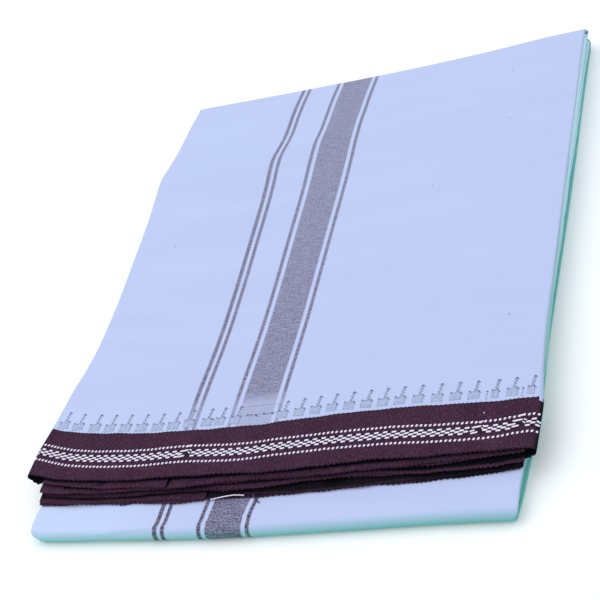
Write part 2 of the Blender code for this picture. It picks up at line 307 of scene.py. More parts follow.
def crest_height(x, y):
    """How far the crest lifts the cloth above the packet's flat."""
    away = y - along(CREST, "y", x)
    spread = np.where(away < 0, CREST_FRONT_SPREAD, CREST_BACK_SPREAD)
    rounded = np.sqrt(away * away + CREST_ROUNDING ** 2) - CREST_ROUNDING
    return along(CREST, "rise", x) * np.exp(-rounded / spread)


def top_height(x, y):
    """Height of the top panel's outer face above the table."""
    sag = SAG_DEPTH * np.exp(-((y - SAG_CENTRE) / SAG_SPREAD) ** 2)
    into_slope = (y - along(BACK_FOLD, "y", x) + SLOPE_START) / SLOPE_LENGTH
    fall = along(BACK_FOLD, "slope_drop", x) * unit(into_slope) ** 2
    return PACKET_HEIGHT + crest_height(x, y) - sag - fall


def back_radius(x):
    """Radius of the back fold's outer face."""
    return top_height(x, along(BACK_FOLD, "y", x) - PARTING_HEIGHT) / 2


def back_axis(x):
    """Y of the back fold's axis."""
    return along(BACK_FOLD, "y", x) - back_radius(x)


def nose_axis(x):
    """Y of the front fold's axis."""
    return along(FRONT_FOLD, "y", x) + NOSE_RADIUS


def upper_half(x, y, t, share):
    """Height a share of the way up the upper half; t is the share of its length."""
    turn_drop = (top_height(x, back_axis(x)) - 2 * back_radius(x)) * t ** LAST_STRETCH
    return UPPER_FLOOR + share * (top_height(x, y) - turn_drop - UPPER_FLOOR)


def lower_half(x, y, share):
    """Height a share of the way up the lower half, which thins towards its front fold."""
    ease = unit((y - nose_axis(x)) / NOSE_EASE)
    nose_height = 2 * NOSE_RADIUS
    return share * (nose_height + (PARTING_HEIGHT - nose_height) * (1 - (1 - ease) ** 2))


def packet_point(panel, t, x, depth):
    """Y and Z of the cloth, a share t along a panel and a depth below its outer face."""
    front = along(BORDER, "upper", x)
    axis = back_axis(x)
    radius = back_radius(x)
    nose = nose_axis(x)
    squeeze = (2 * radius - UPPER_FLOOR) / UPPER_THICKNESS
    if panel == "top":
        y = front + t * (axis - front)
        return y, upper_half(x, y, t, 1 - depth / UPPER_THICKNESS)
    if panel == "back_fold":
        turn = radius - depth * (squeeze + (1 - squeeze) * t)
        return axis + turn * sin(pi * t), radius + turn * cos(pi * t)
    if panel == "underside":
        y = axis + t * (nose - axis)
        return y, lower_half(x, y, depth / PARTING_HEIGHT)
    if panel == "front_fold":
        turn = NOSE_RADIUS * (1 - 2 * depth / PARTING_HEIGHT)
        return nose - turn * sin(pi * t), NOSE_RADIUS - turn * cos(pi * t)
    if panel == "lower_top":
        y = nose + t * (axis - nose)
        return y, lower_half(x, y, 1 - depth / PARTING_HEIGHT)
    if panel == "inner_fold":
        turn = depth * (1 - (1 - squeeze) * t)
        middle = PARTING_HEIGHT + (UPPER_FLOOR - PARTING_HEIGHT) * t
        return axis - INNER_SETBACK + turn * sin(pi * t), middle - turn * cos(pi * t)
    y = axis - INNER_SETBACK + t * (front - axis + INNER_SETBACK)
    return y, upper_half(x, y, 1 - t, depth / UPPER_THICKNESS)


def packet_side(panel, t, side):
    """X of the left or right fold, a share t along a panel."""
    upper_length = BACK_TURN_Y - BORDER_BACK_Y
    lower_length = BACK_TURN_Y - FRONT_FOLD_Y
    upper_back = along(TOP_SIDES, side, BACK_TURN_Y)
    lower_back = along(LOWER_SIDES, side, BACK_TURN_Y)
    if panel == "top":
        return along(TOP_SIDES, side, BORDER_BACK_Y + t * upper_length)
    if panel == "back_fold":
        lobes = sum(out * np.exp(-((t - at) / LOBE_SPREAD) ** 2) for at, out in BACK_LOBES)
        return upper_back + t * (lower_back - upper_back) + lobes * (side == "right")
    inward = NOSE_CORNERS[side] * (1 if side == "left" else -1)
    if panel == "underside":
        drawn = CORNER_START * unit((t - 1 + CORNER_EASE) / CORNER_EASE) ** 2
        return along(LOWER_SIDES, side, BACK_TURN_Y - t * lower_length) + inward * drawn
    if panel == "front_fold":
        drawn = (1 - abs(cos(pi * t))) ** 1.5 if t > 0.5 else CORNER_START + 2 * (1 - CORNER_START) * t
        return along(LOWER_SIDES, side, FRONT_FOLD_Y) + inward * drawn
    if panel == "lower_top":
        return along(LOWER_SIDES, side, FRONT_FOLD_Y + t * lower_length)
    if panel == "inner_fold":
        return lower_back + t * (upper_back - lower_back)
    return along(TOP_SIDES, side, BACK_TURN_Y - t * upper_length)


def soft_ridge(x, y, start, end, rise, width):
    """A crease between two points: raised or sunk, soft, and fading towards its ends."""
    run = np.subtract(end, start)
    share = ((x - start[0]) * run[0] + (y - start[1]) * run[1]) / (run @ run)
    near = unit(share)
    away = np.hypot(x - start[0] - near * run[0], y - start[1] - near * run[1])
    fade = np.sin(pi * unit(0.08 + 0.84 * share)) ** 0.7
    return rise * fade * np.exp(-(away / width) ** 2)


def rolled_across(columns, turn_steps, tuck):
    """Columns of a panel whose two sides roll under: the share across, the inset and
    the drop in radii of the roll, and how far the cloth runs back inwards beneath."""
    turn = [pi * i / turn_steps for i in range(1, turn_steps + 1)]
    side = [(1 - sin(a), 1 - cos(a), 0.0) for a in turn]
    side += [(1.0, 2.0, tuck / 2), (1.0, 2.0, tuck)]
    flat = [(u, 1.0, 0.0, 0.0) for u in np.linspace(0.0, 1.0, columns)]
    left = [(0.0, *s) for s in reversed(side)]
    right = [(1.0, *s) for s in side]
    return np.array(left + flat + right).T


def mesh_object(name, points, faces, finish):
    """A smooth mesh in the scene, from points in the tables' millimetres."""
    points = (np.array(points) - (*OUTLINE_MIDDLE, 0.0)) * MM
    mesh = bpy.data.meshes.new(name)
    mesh.from_pydata(points.tolist(), [], faces)
    mesh.shade_smooth()
    mesh.materials.append(finish)
    return add_object(name, mesh)


def cloth_piece(name, grids, thickness, finish):
    """A thin shell of cloth from grids of points and of thread places, in millimetres.
    Its face is where columns run to the right and rows run back; it thickens inwards.
    A thread place is across and along the cloth, and how much painted shade it takes."""
    points, threads, faces = [], [], []
    for places, thread_places in grids:
        rows, columns = places.shape[:2]
        first = len(points)
        points += places.reshape(-1, 3).tolist()
        threads += thread_places.reshape(-1, 3).tolist()
        for r in range(rows - 1):
            start = first + r * columns
            faces += [(a, a + 1, a + 1 + columns, a + columns) for a in range(start, start + columns - 1)]
    piece = mesh_object(name, points, faces, finish)
    woven = piece.data.attributes.new("threads", "FLOAT_VECTOR", "POINT")
    woven.data.foreach_set("vector", np.array(threads).ravel())
    shell = piece.modifiers.new("cloth", "SOLIDIFY")
    shell.thickness = thickness * MM
    shell.offset = -1.0
    shell.use_even_offset = False
    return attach(piece, "root")


# Plain weave of fine bleached cotton: matt, with a slight nap.  The grey stripes are
# maroon yarns among the white ones.  Yarns lie 0.35 mm apart, drawn 0.9 mm apart.
YARN_PITCH = 0.9
STRIPE_SOFTNESS = 0.12
PAINTED_LIGHT_TO = (-75.0, -25.0)  # X over which the paler left white, which is painted light, ends
STRIPES_FROM = -60.0
STRIPES_TO = 20.0
STRIPES = (
    # start and end across the cloth, share of grey, what is left of it at the border
    (-46.3, -44.0, 1.11, 0.72),
    (-42.1, -40.0, 1.08, 0.72),
    (-23.1, -21.0, 1.07, 0.66),
    (-18.8, -0.7, 0.95, 0.45),
    (1.4, 3.4, 1.07, 0.66),
)


def cotton(name, ground, grey, shadow, depth=0.0, painted_light_ground=None):
    """Woven cotton; depth is how deep its grey stripes are, shadow is the colour of the painted shade
    that the threads' third value lays on, and the left ground is a paler white on the left of the stripes,
    painted light."""
    made, tree, shader = material(name)
    places = node(tree, "Attribute", attribute_name="threads").outputs["Vector"]
    split = node(tree, "SeparateXYZ", {"Vector": places})

    # thick and thin places in the weft yarns, long across and short along
    slub_places = node(tree, "Mapping", {"Vector": places, "Scale": (0.15, 1.15, 0.0)})
    slubs = node(tree, "TexNoise", {"Vector": slub_places, "Scale": 1.0, "Detail": 4.0, "Roughness": 0.7})
    cloudy = node(tree, "TexNoise", {"Vector": slub_places, "Scale": 0.05, "Detail": 2.0})

    # one yarn over, one under
    waves = []
    for axis in ("X", "Y"):
        turns = node(tree, "Math", {0: split.outputs[axis], 1: 2 * pi / YARN_PITCH}, operation="MULTIPLY")
        waves.append(node(tree, "Math", {0: turns}, operation="SINE"))
    weave = node(tree, "Math", {0: waves[0], 1: waves[1]}, operation="MULTIPLY")
    relief = node(tree, "Math", {0: weave, 1: 0.35, 2: slubs}, operation="MULTIPLY_ADD")
    bump = node(tree, "Bump", {"Height": relief, "Distance": 0.00006, "Strength": 0.5})

    # the white ground, very slightly cloudy, from its paler left white, which is painted light, to its usual
    # one
    shade = node(tree, "MapRange", {"Value": cloudy, "From Min": 0.3, "From Max": 0.7,
                                    "To Min": 0.975, "To Max": 1.02})
    across = node(tree, "MapRange", {"Value": split.outputs["X"], "From Min": PAINTED_LIGHT_TO[0],
                                     "From Max": PAINTED_LIGHT_TO[1]})
    whites = node(tree, "Mix", {0: across, 6: colour(painted_light_ground or ground), 7: colour(ground)},
                  data_type="RGBA")
    finish_colour = node(tree, "Mix", {0: 1.0, 6: whites, 7: shade}, data_type="RGBA", blend_type="MULTIPLY")
    if depth:
        at = node(tree, "MapRange", {"Value": split.outputs["X"], "From Min": STRIPES_FROM,
                                     "From Max": STRIPES_TO})
        stripes = node(tree, "ValToRGB", {"Fac": at})
        ramp = stripes.color_ramp
        ramp.elements[1].color = (0, 0, 0, 1)
        for start, end, share, left_over in STRIPES:
            soft = STRIPE_SOFTNESS
            for edge, level in ((start - soft, 0), (start + soft, 1), (end - soft, 1), (end + soft, 0)):
                stop = ramp.elements.new((edge - STRIPES_FROM) / (STRIPES_TO - STRIPES_FROM))
                stop.color = (level * share * depth, left_over, 0, 1)
        stripe = node(tree, "SeparateColor", {"Color": stripes})
        # single yarns come and go in the weave, which flecks the stripes
        fleck_places = node(tree, "Mapping", {"Vector": places, "Scale": (1.15, 1.75, 0.0)})
        flecks = node(tree, "TexNoise", {"Vector": fleck_places, "Scale": 1.0, "Detail": 3.0})
        level = stripe.outputs["Red"]
        for reading, low, high, at_low, at_high in (
            # the maroon yarns thin out over the last two centimetres before the border
            (split.outputs["Y"], 15.0, 21.5, stripe.outputs["Green"], 1.0),
            # slubs streak them, and the thickest cover them
            (slubs, 0.32, 0.68, 1.22, 0.78),
            (slubs, 0.62, 0.72, 1.0, 0.62),
            (flecks, 0.34, 0.66, 0.62, 1.38),
            (weave, -1.0, 1.0, 0.86, 1.14),
            # the top panel's stripes are deeper over the half next to the border
            (split.outputs["Y"], 70.0, 170.0, 1.08, 1.0),
        ):
            factor = node(tree, "MapRange", {"Value": reading, "From Min": low, "From Max": high,
                                             "To Min": at_low, "To Max": at_high})
            level = node(tree, "Math", {0: level, 1: factor}, operation="MULTIPLY")
        finish_colour = node(tree, "Mix", {0: level, 6: finish_colour, 7: colour(grey)},
                             data_type="RGBA", clamp_factor=False)
    # painted shade: the threads' third value tints the colour towards the shadow colour
    painted_shade = node(tree, "Mix", {0: split.outputs["Z"], 6: (1, 1, 1, 1), 7: colour(shadow)}, data_type="RGBA")
    shaded = node(tree, "Mix", {0: 1.0, 6: finish_colour, 7: painted_shade}, data_type="RGBA", blend_type="MULTIPLY")
    feed(shader, {"Base Color": shaded, "Normal": bump, "Roughness": 0.88, "IOR": 1.5,
                  "Specular IOR Level": 0.2, "Sheen Weight": 0.05, "Sheen Roughness": 0.5})
    return made


# The stripes are a little deeper and darker on the lower half, which is painted shade, and its left white is
# paler, which is painted light
lower_cotton = cotton("bleached_striped_cotton_back", "#B6C0E4", "#6E6A84", "#95EDC4", depth=1.0,
                      painted_light_ground="#BDCAEC")

CLOTH_THICKNESS = 0.35
LOWER_ROLL = 0.9
LOWER_TUCK = 8.0
GROUPS_APART = (-45.0, 2.0)  # X of the middle of the left group of stripes, and of the right
LOWER_START = 300.0  # place along the cloth where the lower half's threads begin
# The front fold's shade below is painted shade.
FRONT_SHADE_X = (-80.0, 90.0)  # the front fold's shade reaches further round from here to here:
FRONT_SHADE_REACH = (1.02, 1.09)
FRONT_SHADE_FADE = 0.62  # in shares of the turn, and fades out over this

# How far the stripes lie to the left of the top panel's, at their left and right groups
STRIPE_SHIFT = table(
    ("y", "left", "right"),
    (-166, 7.2, 6.4),
    (-158, 6, 6.3),
    (-150, 5.5, 4.8),
    (-140, 5.2, 3.9),
)

# Small creases in front of the border
FRONT_CREASES = (
    # start, end, rise, width
    ((-34.0, -163.2), (-4.0, -158.6), 0.85, 0.75),
    ((-92.0, -164.9), (-36.0, -161.9), 0.70, 0.80),
    ((40.0, -158.5), (78.0, -155.6), 0.16, 1.6),
    ((-112.0, -156.8), (-78.0, -160.4), 0.14, 1.8),
    ((86.0, -161.5), (117.0, -159.5), 0.15, 1.2),
)


def rolled_grid(stations, across, roll, threads_at, relief):
    """The points and thread places of a panel whose sides roll under, through stations
    along it; the functions give the roll's radius, the threads and the relief there."""
    share, inset, drop, tuck = across
    points, threads = [], []
    length = np.zeros(len(share))
    before = None
    for panel, t in stations:
        radius = roll(panel, t)
        inward = inset * radius + tuck
        left = packet_side(panel, t, "left") + inward
        right = packet_side(panel, t, "right") - inward
        x = left + share * (right - left)
        y, z = packet_point(panel, t, x, drop * radius)
        z = z + relief(panel, x, y) * (drop == 0)
        here = side_by_side(x, y, z)
        if before is not None:
            length = length + np.linalg.norm(here - before, axis=1)
        before = here
        points.append(here)
        thread_x, thread_y, painted_shade = threads_at(panel, t, x, y, length)
        # painted shade: the threads' own, and more as the sides roll under
        threads.append(side_by_side(thread_x, thread_y, np.maximum(painted_shade, unit(drop / 2))))
    return np.array(points), np.array(threads)


def by_group(source, x, y):
    """Read a table of the stripes' left and right groups, blended between them."""
    to_right = np.interp(x, GROUPS_APART, (0.0, 1.0))
    return (1 - to_right) * along(source, "left", y) + to_right * along(source, "right", y)


def lower_threads(panel, t, x, y, length):
    """Thread places of the lower half; its stripes lie a little left of the top's."""
    shift = by_group(STRIPE_SHIFT, x, FRONT_FOLD_Y if panel != "lower_top" else y)
    # painted shade: full on the underside, and round the front fold as far as its reach
    painted_shade = 0.0
    if panel == "underside":
        shift = shift * t
        painted_shade = 1.0
    elif panel == "front_fold":
        reach = np.interp(x, FRONT_SHADE_X, FRONT_SHADE_REACH)
        painted_shade = unit((reach - t) / FRONT_SHADE_FADE) ** 1.5
    return x + shift, LOWER_START + length, painted_shade


def front_relief(panel, x, y):
    """Relief of the small creases on the lower half's front."""
    if panel not in ("front_fold", "lower_top"):
        return 0.0
    return sum(soft_ridge(x, y, *crease) for crease in FRONT_CREASES)


lower_stations = [("underside", t) for t in np.linspace(0.0, 1.0, 70)]
lower_stations += [("front_fold", t) for t in np.linspace(0.0, 1.0, 19)[1:-1]]
lower_stations += [("lower_top", t) for t in np.linspace(0.0, 0.09, 36)]
lower_stations += [("lower_top", t) for t in np.linspace(0.09, 0.99, 60)[1:]]
lower_grid = rolled_grid(lower_stations, rolled_across(150, 7, LOWER_TUCK), lambda panel, t: LOWER_ROLL,
                         lower_threads, front_relief)
lower_panel = cloth_piece("lower_panel", [lower_grid], CLOTH_THICKNESS, lower_cotton)
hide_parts("lower_layers")

# ---------------------------------------------------------------------------
# Side folds
# Lengthwise the cloth lies in eight layers, so each side of each panel ends in a
# stack of folds.  A fold follows its panel round the back and front folds.

# The side folds' white is painted greener, a painted reflection of the room's green, and their shadow colour
# is painted shade
side_cotton_painted_green = cotton("bleached_cotton_painted_green", "#BEDDE9", "#79738C", "#94C8B2")

FOLD_DEPTH = 9.0  # how far a fold's two layers run into the packet
FOLD_YARNS = 0.7  # cloth between two columns of a fold
FOLD_TURN = [pi * i / 6 for i in range(7)]
FULL_ROUND = ("top", "back_fold", "underside", "front_fold", "lower_top", "inner_fold", "inner")
SIDE_FOLDS = (
    # depth of its middle, half thickness, inset, wander of its edge, panels
    (0.92, 0.80, 0.15, 0.25, ("inner_fold", "inner")),
    (2.45, 0.52, 0.60, 0.60, FULL_ROUND),
    (3.42, 0.42, 0.10, 0.50, FULL_ROUND),
    (5.20, 1.40, 0.60, 0.30, ("top", "back_fold")),
)
DRAWN_IN = 2.6  # how far the folds draw in under the border
DRAWN_Y = (-105.0, -70.0)  # and over which Y they do
SIDE_SHADE_Y = (-150.0, 60.0)  # the sides' painted shade is deepest next to the front
STATIONS_OF = {
    "top": 66, "back_fold": 14, "underside": 70, "front_fold": 12,
    "lower_top": 70, "inner_fold": 8, "inner": 60,
}


def wander(at, seed):
    """A slow uneven drift between about -1 and 1."""
    return (np.sin(at / 31.0 + seed * 2.1) + 0.6 * np.sin(at / 13.7 + seed * 5.3)
            + 0.35 * np.sin(at / 6.1 + seed * 8.9)) / 1.6


def side_fold(side, fold, number):
    """One fold of the stack at a side, as a grid across its edge and along its panels."""
    depth, half, inset, drift, panels = fold
    inward = 1 if side == "left" else -1
    seed = number + (0.0 if side == "left" else 4.7)
    points, threads = [], []
    length = 0.0
    before = None
    # across the fold: share of its half thickness upwards, and how far inwards
    up = np.array([1.0] + [cos(a) for a in FOLD_TURN] + [-1.0])
    inwards = np.array([FOLD_DEPTH] + [half * (1 - sin(a)) for a in FOLD_TURN] + [FOLD_DEPTH])
    for panel in panels:
        for t in np.linspace(0.0, 1.0, STATIONS_OF[panel])[1:]:
            edge = packet_side(panel, t, side)
            y = float(packet_point(panel, t, edge, depth)[0])
            drawn = DRAWN_IN * np.interp(y, DRAWN_Y, (1.0, 0.0)) ** 2 * (panel in ("top", "inner"))
            x = edge + inward * (inset + drift * (1 + wander(length, seed)) + drawn + inwards)
            y, z = packet_point(panel, t, x, depth - up * half)
            row = side_by_side(x, y, z)
            middle = row[len(row) // 2]
            if before is not None:
                length += np.linalg.norm(middle - before)
            before = middle
            points.append(row)
            # painted shade, deepest next to the front
            painted_shade = np.interp(y, SIDE_SHADE_Y, (1.0, 0.0))
            threads.append(side_by_side(FOLD_YARNS * np.arange(len(x)), length, painted_shade))
    points = np.array(points)
    if side == "left":
        points = points[:, ::-1]
    return points, np.array(threads)


for side in ("left", "right"):
    folds = cloth_piece("side_folds_" + side, [side_fold(side, fold, n) for n, fold in enumerate(SIDE_FOLDS)],
                        0.2, side_cotton_painted_green)
    if side == "left":
        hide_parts("upper_layers")

# ---------------------------------------------------------------------------
# Fanned selvedges
# The borders of the layers under the top one, each a little further forward than the
# one above it: ribbed maroon cotton, folded at its front edge.

# Warp-ribbed border of dyed cotton: dark, matt, with ribs about 1 mm apart that run
# from front to back, and single brighter yarns among them.
RIB_PITCH = 1.07


def ribbed_cotton(name, ground, bright, deep, shadow):
    """Ribbed dyed cotton: ground, brighter flecks, the painted shade in its grooves, and the colour of
    painted shade for what lies in the shade.
    """
    made, tree, shader = material(name)
    places = node(tree, "Attribute", attribute_name="threads").outputs["Vector"]
    split = node(tree, "SeparateXYZ", {"Vector": places})
    across = node(tree, "Math", {0: split.outputs["X"], 1: 2 * pi / RIB_PITCH}, operation="MULTIPLY")
    rib = node(tree, "Math", {0: across}, operation="SINE")
    fleck_places = node(tree, "Mapping", {"Vector": places, "Scale": (1.3, 0.6, 0.0)})
    flecks = node(tree, "TexNoise", {"Vector": fleck_places, "Scale": 1.0, "Detail": 4.0, "Roughness": 0.7})
    cloudy = node(tree, "TexNoise", {"Vector": fleck_places, "Scale": 0.06, "Detail": 2.0})
    # painted shade: the grooves between the ribs are painted darker
    groove = node(tree, "MapRange", {"Value": rib, "From Min": -1.0, "From Max": 0.6})
    ribs = node(tree, "Mix", {0: groove, 6: colour(deep), 7: colour(ground)}, data_type="RGBA")
    bright_share = node(tree, "MapRange", {"Value": flecks, "From Min": 0.50, "From Max": 0.68,
                                           "To Max": 0.85})
    flecked = node(tree, "Mix", {0: bright_share, 6: ribs, 7: colour(bright)}, data_type="RGBA")
    shade = node(tree, "MapRange", {"Value": cloudy, "From Min": 0.3, "From Max": 0.7,
                                    "To Min": 0.85, "To Max": 1.15})
    shaded = node(tree, "Mix", {0: 1.0, 6: flecked, 7: shade}, data_type="RGBA", blend_type="MULTIPLY")
    # painted shade: the threads' third value tints the colour towards the shadow colour
    painted_shade = node(tree, "Mix", {0: split.outputs["Z"], 6: shaded, 7: colour(shadow)}, data_type="RGBA")
    relief = node(tree, "Math", {0: rib, 1: 0.5, 2: flecks}, operation="MULTIPLY_ADD")
    bump = node(tree, "Bump", {"Height": relief, "Distance": 0.00012, "Strength": 0.7})
    feed(shader, {"Base Color": painted_shade, "Normal": bump, "Roughness": 0.85, "Specular IOR Level": 0.08})
    return made


# the two darkest colours are painted shade: in the grooves, and where the threads' third value lays it
maroon = ribbed_cotton("ribbed_maroon_cotton", "#40263B", "#5F3A53", "#281727", "#0A0C12")

BORDER_THICKNESS = 0.40  # of the border, with its ribs
FAN_BACK = 14.0  # how far a selvedge runs back under the one above
FAN_LIP = 4.0  # its underside shows over this at the most
LEAST_SHOWING = 1.6  # and at least this much of its top does, behind its turned edge
SECOND_END = -48.6  # X where the second selvedge ends
SELVEDGES = (
    # name, replaced node, column, the columns above it, left and right end, underside,
    # thickness, setback of its lower edge, painted shade at the left and at the right
    ("second_selvedge", "border_second", "second", ("top",),
     -119.6, SECOND_END, 13.25, 1.15, 0.9, 0.0, 0.0),
    ("third_selvedge", "border_third", "third", ("top", "second"),
     -120.9, 123.6, 11.80, 1.15, 0.6, 0.0, 0.10),
    ("fourth_selvedge", "border_fourth", "fourth", ("top", "second", "third"),
     -118.6, 122.8, 10.25, 1.25, 0.4, 0.50, 0.0),
    ("lowest_selvedge_left", "border_lowest_left", "lowest", ("second", "third", "fourth"),
     -121.3, -28.2, 8.35, 1.50, -0.5, 0.05, 0.05),
    ("lowest_selvedge_right", "border_lowest_right", "lowest", ("third", "fourth"),
     -27.9, 122.0, 8.35, 0.85, -0.4, 0.92, 0.92),
)
# Painted shade: the fourth selvedge's painted shade fades out over this first span, its hollow is painted in
# shade, and the lowest one's front edge is painted with less of it
LIGHT_FROM = (-45.0, -5.0)  # the fourth selvedge comes out of the shade over this
HOLLOW_FROM = (35.0, 85.0)  # and a hollow opens behind its front edge over this,
HOLLOW_DEPTH = 0.7
HOLLOW_RIM = 1.5  # behind a lit strip this wide
LIT_EDGE_TO = (60.0, 95.0)  # the lowest one's front edge catches light to here
THIRD_PUFFS = 1.15  # the third selvedge fills the room beyond the second's end
END_CORNER = 0.9  # how far a selvedge's end corners draw back,
END_CORNER_REACH = 1.4  # and over what length
RIM = 0.7  # strip of a selvedge that lies clear behind its turned edge
SHADED_STRIP = 0.38  # strip before the selvedge above that lies in its shade


def smooth_step(at, start, end):
    """0 before the start, 1 past the end, and smooth between."""
    t = unit((at - start) / (end - start))
    return t * t * (3 - 2 * t)


def ragged(x, seed):
    """The small uneven teeth of a woven edge."""
    return (0.28 * np.sin(2.75 * x + 2.2 * np.sin(x / 4.3 + seed)) + 0.18 * np.sin(4.9 * x + seed * 3.0)
            + 0.62 * wander(x * 2.4, seed))


def folded_edge(selvedge, part, seed):
    """One folded edge of a selvedge: under, round its front and back over the top."""
    _, _, column, above, left, right, low, thickness, setback, dark_left, dark_right = selvedge
    x = np.append(np.arange(left, right, 0.5), right)
    puff = THIRD_PUFFS * smooth_step(x, SECOND_END, SECOND_END + 3.0) * (column == "third")
    thickness = thickness + puff
    middle = low + thickness / 2
    radius = thickness / 4 - 0.01
    axis = middle + thickness / 4 if part == "upper" else middle - thickness / 4
    if part == "upper":
        setback = 0.0
    from_end = np.minimum(x - left, right - x)
    corner = END_CORNER * unit(1 - from_end / END_CORNER_REACH) ** 2
    front = along(BORDER, column, x) + setback + corner + ragged(x, seed)
    axis = axis + 0.10 * wander(x * 1.7, seed + 1.0)
    covers = [along(BORDER, name, x) for name in above if name != "second"]
    if "second" in above:
        covers.append(np.where(x < SECOND_END, along(BORDER, "second", x), 0.0))
    cover = np.maximum(np.minimum.reduce(covers), front + 2 * radius + LEAST_SHOWING)
    # painted shade along the selvedge, in the hollow behind the fourth's front edge, and in the strip before
    # the selvedge above
    dark = dark_left + (dark_right - dark_left) * smooth_step(x, *LIGHT_FROM)
    hollow = smooth_step(x, *HOLLOW_FROM) * (column == "fourth")
    rim = front + radius + RIM
    shaded_strip = SHADED_STRIP + 0.50 * wander(x * 4.1, seed + 2.0)
    behind = np.where(hollow > 0, np.minimum(rim + HOLLOW_RIM, cover - 0.3), cover - shaded_strip)
    behind = np.maximum(behind, rim + 0.35)
    edge_dark = dark * (0.45 + 0.55 * smooth_step(x, *LIT_EDGE_TO)) if column == "lowest" else dark
    # each row: Y, Z and how much painted shade it takes, most under the folded edge
    rows = [(front + FAN_BACK, axis - radius, 1.0), (front + FAN_LIP, axis - radius, 1.0)]
    for a in FOLD_TURN:
        shade = np.maximum(max(1 - a / 1.2, 0.0), edge_dark)
        rows.append((front + radius * (1 - sin(a)), axis - radius * cos(a), shade))
    top = axis + radius
    rows += [
        (rim, top, edge_dark),
        (rim + 0.25, top, dark),
        (behind, top - HOLLOW_DEPTH * hollow, np.maximum(0.1 + 0.85 * hollow, dark)),
        (cover - 0.1, top - HOLLOW_DEPTH * hollow, 0.85),
        (cover + 1.0, top - 0.5 * hollow, 1.0),
        (front + FAN_BACK, top, 1.0),
    ]
    points, threads = [], []
    length = 0.0
    for i, (y, z, shade) in enumerate(rows):
        if i:
            length += float(np.hypot(y - rows[i - 1][0], z - rows[i - 1][1]).mean())
        points.append(side_by_side(x, y, z))
        threads.append(side_by_side(x, length, shade))
    return np.array(points), np.array(threads)


for number, selvedge in enumerate(SELVEDGES):
    name, replaced = selvedge[:2]
    edges = [folded_edge(selvedge, "upper", number), folded_edge(selvedge, "lower", number + 10)]
    piece = cloth_piece(name, edges, 0.18, maroon)
    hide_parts(replaced)

# ---------------------------------------------------------------------------
# Top panel
# White cotton with grey cross stripes, from the border over the crest, and round the
# back fold to the table.  It is the outermost layer, rolled under at its two sides.

striped_cotton = cotton("bleached_striped_cotton", "#B3BDE0", "#77748D", "#93D1B4", depth=0.84)

TOP_TUCK = 7.0
TOP_ROLL = 0.95
FRONT_ROLL = 2.15  # the roll opens towards the border's loops,
FRONT_ROLL_SHARE = 0.14  # over this share of the panel's length
ROLL_WANDER = 0.12
BACK_SHADE = (0.35, 0.975)  # shares of the back fold's turn where its painted shade starts and is full
PUCKER_REACH = 11.0  # puckers die out this far from the border
TUCK_DIP = 0.45  # the cloth dips to pass under the border's edge
TUCK_LENGTH = 1.6
TOP_CREASES = (
    # start, end, rise, width
    ((118.0, 106.0), (127.0, 98.0), -0.5, 2.5),
    ((20.0, -88.0), (34.0, -60.0), 0.12, 7.0),
    ((66.0, -92.0), (72.0, -52.0), 0.15, 9.0),
    ((-84.0, -92.0), (-72.0, -60.0), 0.12, 8.0),
    ((96.0, -20.0), (124.0, -4.0), -0.15, 8.0),
    ((-116.0, 30.0), (-86.0, 52.0), -0.15, 9.0),
    ((40.0, 60.0), (96.0, 84.0), 0.12, 12.0),
)

# How far the stripes stray to the right along the panel, at its left and right groups
STRAY = table(
    ("y", "left", "right"),
    (-110, -1.3, -0.9),
    (-90, -0.9, -0.7),
    (-60, 0.3, -0.2),
    (-20, 0.1, -0.3),
    (20, 0, 0.2),
    (60, -0.1, 0.5),
    (80, -0.4, 0.3),
    (92, 0.4, 0.1),
    (105, 1.1, 0.4),
    (125, 0.8, 0.8),
    (160, 0.7, 0.9),
)


def top_roll(panel, t):
    """Radius of the top panel's rolled sides."""
    if panel == "back_fold":
        return TOP_ROLL
    opening = unit(1 - t / FRONT_ROLL_SHARE)
    drift = ROLL_WANDER * wander(t * (BACK_TURN_Y - BORDER_BACK_Y), 0.4)
    return TOP_ROLL + (FRONT_ROLL - TOP_ROLL) * opening ** 2 + drift


def pucker(x, y):
    """Soft puckers where the heavier border draws the white cloth in."""
    from_border = y - along(BORDER, "upper", x)
    reach = np.exp(-np.abs(from_border) / PUCKER_REACH)
    return reach * (0.20 * np.sin(x / 4.6 + 0.7 * np.sin(x / 17.0)) + 0.12 * np.sin(x / 2.3 + 1.0))


def tucked(x, y):
    """How far the white cloth dips to pass under the border's edge."""
    return TUCK_DIP * unit(1 - (y - along(BORDER, "upper", x)) / TUCK_LENGTH)


def top_relief(panel, x, y):
    """Relief of the top panel: its creases, its puckers and the dip at the border."""
    if panel != "top":
        return 0.0
    return sum(soft_ridge(x, y, *crease) for crease in TOP_CREASES) + pucker(x, y) - tucked(x, y)


def top_threads(panel, t, x, y, length):
    """Thread places of the top panel, measured back from the border's upper edge."""
    stray = by_group(STRAY, x, y if panel == "top" else STRAY["key"][-1])
    # painted shade round the back fold's turn
    painted_shade = np.interp(t, BACK_SHADE, (0.0, 1.0)) if panel == "back_fold" else 0.0
    return x - stray, length - TUCK_LENGTH, painted_shade


top_stations = [("top", t) for t in (-0.006, -0.003, 0.0, 0.003, 0.006, 0.010)]
top_stations += [("top", t) for t in np.linspace(0.016, 1.0, 140)]
top_stations += [("back_fold", t) for t in np.linspace(0.0, 1.0, 25)[1:]]
top_grid = rolled_grid(top_stations, rolled_across(150, 8, TOP_TUCK), top_roll, top_threads, top_relief)
top_panel = cloth_piece("top_panel", [top_grid], CLOTH_THICKNESS, striped_cotton)
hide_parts("top_cloth")

# ---------------------------------------------------------------------------
# Top border
# The maroon selvedge of the top panel, woven in one with it.  At its two ends the
# cloth folds under in an open loop.  Its edge against the white is finely scalloped.

